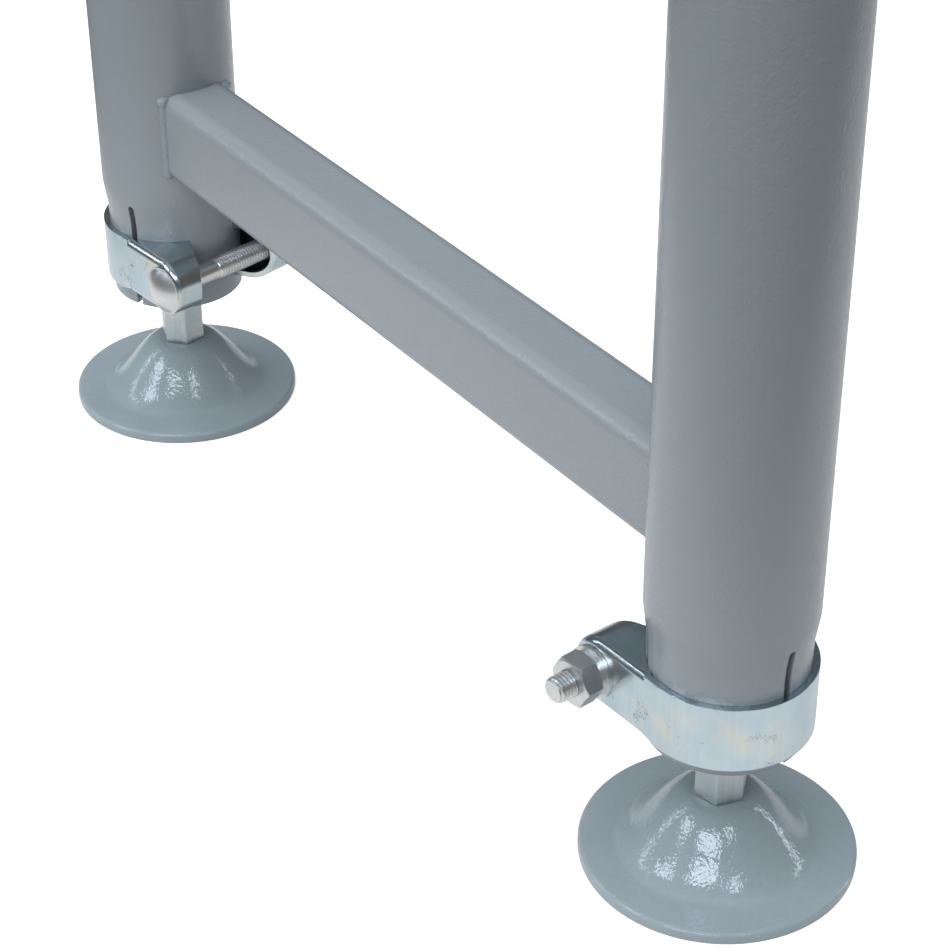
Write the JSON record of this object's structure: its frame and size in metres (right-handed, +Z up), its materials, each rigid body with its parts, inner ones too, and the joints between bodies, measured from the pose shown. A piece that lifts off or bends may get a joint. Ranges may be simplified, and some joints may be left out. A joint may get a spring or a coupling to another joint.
{
  "type": "roller table",
  "caption": "Gravity roller table: free rollers between channel rails on two welded leg frames with telescopic legs, band clamps and levelling feet.",
  "frame": {"origin": "on the floor under the middle of the table, legs pushed in and feet screwed up", "axes": "+X along the track towards the far end, +Y across it to the left rail, +Z up"},
  "size_m": [1, 0.487, 0.7],
  "materials": {
    "frame_paint": "semi-gloss grey-blue powder coat with orange peel",
    "foot_paint": "glossy grey-blue dip paint",
    "clamp_zinc": "bright blue-white zinc plate with light handling marks",
    "bolt_zinc": "bright zinc plate",
    "spindle_zinc": "satin zinc plate on drawn hexagon bar",
    "inner_leg_steel": "dark phosphated tube, lightly oiled",
    "roller_zinc": "zinc-plated tube, polished lightly in use",
    "housing_steel": "pressed steel, dull zinc",
    "axle_steel": "bright drawn bar",
    "bearing_steel": "ground bearing steel"
  },
  "bodies": {
    "root": {"side_rail_left": "frame_paint", "side_rail_right": "frame_paint", "end_tie_near": "frame_paint", "end_tie_far": "frame_paint", "head_plates": "frame_paint", "crossbar_near": "frame_paint", "crossbar_far": "frame_paint", "clamp_bolts": "bolt_zinc", "clamp_nuts": "bolt_zinc", "clamp_washers": "bolt_zinc", "clamp_lock_washers": "bolt_zinc", "roller_axles": "axle_steel", "axle_nuts": "bolt_zinc", "axle_washers": "bolt_zinc", "bearing_inner_rings": "bearing_steel", "frame_bolts": "bolt_zinc", "frame_nuts": "bolt_zinc", "frame_washers": "bolt_zinc", "leg_tube_1": "frame_paint", "clamp_band_1": "clamp_zinc", "leg_tube_2": "frame_paint", "clamp_band_2": "clamp_zinc", "leg_tube_3": "frame_paint", "clamp_band_3": "clamp_zinc", "leg_tube_4": "frame_paint", "clamp_band_4": "clamp_zinc"},
    "inner_leg_1": {"inner_tube_1": "inner_leg_steel", "end_plug_1": "inner_leg_steel"},
    "foot_1": {"foot_plate_1": "foot_paint"},
    "spindle_1": {"foot_spindle_1": "spindle_zinc"},
    "inner_leg_2": {"inner_tube_2": "inner_leg_steel", "end_plug_2": "inner_leg_steel"},
    "foot_2": {"foot_plate_2": "foot_paint"},
    "spindle_2": {"foot_spindle_2": "spindle_zinc"},
    "inner_leg_3": {"inner_tube_3": "inner_leg_steel", "end_plug_3": "inner_leg_steel"},
    "foot_3": {"foot_plate_3": "foot_paint"},
    "spindle_3": {"foot_spindle_3": "spindle_zinc"},
    "inner_leg_4": {"inner_tube_4": "inner_leg_steel", "end_plug_4": "inner_leg_steel"},
    "foot_4": {"foot_plate_4": "foot_paint"},
    "spindle_4": {"foot_spindle_4": "spindle_zinc"},
    "roller_1": {"roller_tube_1": "roller_zinc", "roller_housings_1": "housing_steel"},
    "roller_2": {"roller_tube_2": "roller_zinc", "roller_housings_2": "housing_steel"},
    "roller_3": {"roller_tube_3": "roller_zinc", "roller_housings_3": "housing_steel"},
    "roller_4": {"roller_tube_4": "roller_zinc", "roller_housings_4": "housing_steel"},
    "roller_5": {"roller_tube_5": "roller_zinc", "roller_housings_5": "housing_steel"},
    "roller_6": {"roller_tube_6": "roller_zinc", "roller_housings_6": "housing_steel"},
    "roller_7": {"roller_tube_7": "roller_zinc", "roller_housings_7": "housing_steel"}
  },
  "joints": [
    {"name": "leg_slide_1", "type": "slide", "parent": "root", "child": "inner_leg_1", "axis": [0, 0, -1], "range_m": [0, 0.2]},
    {"name": "foot_level_1", "type": "slide", "parent": "inner_leg_1", "child": "foot_1", "axis": [0, 0, -1], "range_m": [0, 0.03]},
    {"name": "spindle_turn_1", "type": "hinge", "parent": "foot_1", "child": "spindle_1", "pos_m": [-0.4, -0.1935, 0.05], "axis": [0, 0, -1], "range_deg": [0, 5400]},
    {"name": "leg_slide_2", "type": "slide", "parent": "root", "child": "inner_leg_2", "axis": [0, 0, -1], "range_m": [0, 0.2]},
    {"name": "foot_level_2", "type": "slide", "parent": "inner_leg_2", "child": "foot_2", "axis": [0, 0, -1], "range_m": [0, 0.03]},
    {"name": "spindle_turn_2", "type": "hinge", "parent": "foot_2", "child": "spindle_2", "pos_m": [-0.4, 0.1935, 0.05], "axis": [0, 0, -1], "range_deg": [0, 5400]},
    {"name": "leg_slide_3", "type": "slide", "parent": "root", "child": "inner_leg_3", "axis": [0, 0, -1], "range_m": [0, 0.2]},
    {"name": "foot_level_3", "type": "slide", "parent": "inner_leg_3", "child": "foot_3", "axis": [0, 0, -1], "range_m": [0, 0.03]},
    {"name": "spindle_turn_3", "type": "hinge", "parent": "foot_3", "child": "spindle_3", "pos_m": [0.4, 0.1935, 0.05], "axis": [0, 0, -1], "range_deg": [0, 5400]},
    {"name": "leg_slide_4", "type": "slide", "parent": "root", "child": "inner_leg_4", "axis": [0, 0, -1], "range_m": [0, 0.2]},
    {"name": "foot_level_4", "type": "slide", "parent": "inner_leg_4", "child": "foot_4", "axis": [0, 0, -1], "range_m": [0, 0.03]},
    {"name": "spindle_turn_4", "type": "hinge", "parent": "foot_4", "child": "spindle_4", "pos_m": [0.4, -0.1935, 0.05], "axis": [0, 0, -1], "range_deg": [0, 5400]},
    {"name": "roller_spin_1", "type": "hinge", "parent": "root", "child": "roller_1", "pos_m": [-0.45, 0, 0.67], "axis": [0, 1, 0], "continuous": true},
    {"name": "roller_spin_2", "type": "hinge", "parent": "root", "child": "roller_2", "pos_m": [-0.3, 0, 0.67], "axis": [0, 1, 0], "continuous": true},
    {"name": "roller_spin_3", "type": "hinge", "parent": "root", "child": "roller_3", "pos_m": [-0.15, 0, 0.67], "axis": [0, 1, 0], "continuous": true},
    {"name": "roller_spin_4", "type": "hinge", "parent": "root", "child": "roller_4", "pos_m": [0, 0, 0.67], "axis": [0, 1, 0], "continuous": true},
    {"name": "roller_spin_5", "type": "hinge", "parent": "root", "child": "roller_5", "pos_m": [0.15, 0, 0.67], "axis": [0, 1, 0], "continuous": true},
    {"name": "roller_spin_6", "type": "hinge", "parent": "root", "child": "roller_6", "pos_m": [0.3, 0, 0.67], "axis": [0, 1, 0], "continuous": true},
    {"name": "roller_spin_7", "type": "hinge", "parent": "root", "child": "roller_7", "pos_m": [0.45, 0, 0.67], "axis": [0, 1, 0], "continuous": true}
  ],
  "couplings": [
    {"joint": "spindle_turn_1", "follows": "foot_level_1", "rad_per_m": 3141.6},
    {"joint": "spindle_turn_2", "follows": "foot_level_2", "rad_per_m": 3141.6},
    {"joint": "spindle_turn_3", "follows": "foot_level_3", "rad_per_m": 3141.6},
    {"joint": "spindle_turn_4", "follows": "foot_level_4", "rad_per_m": 3141.6}
  ]
}
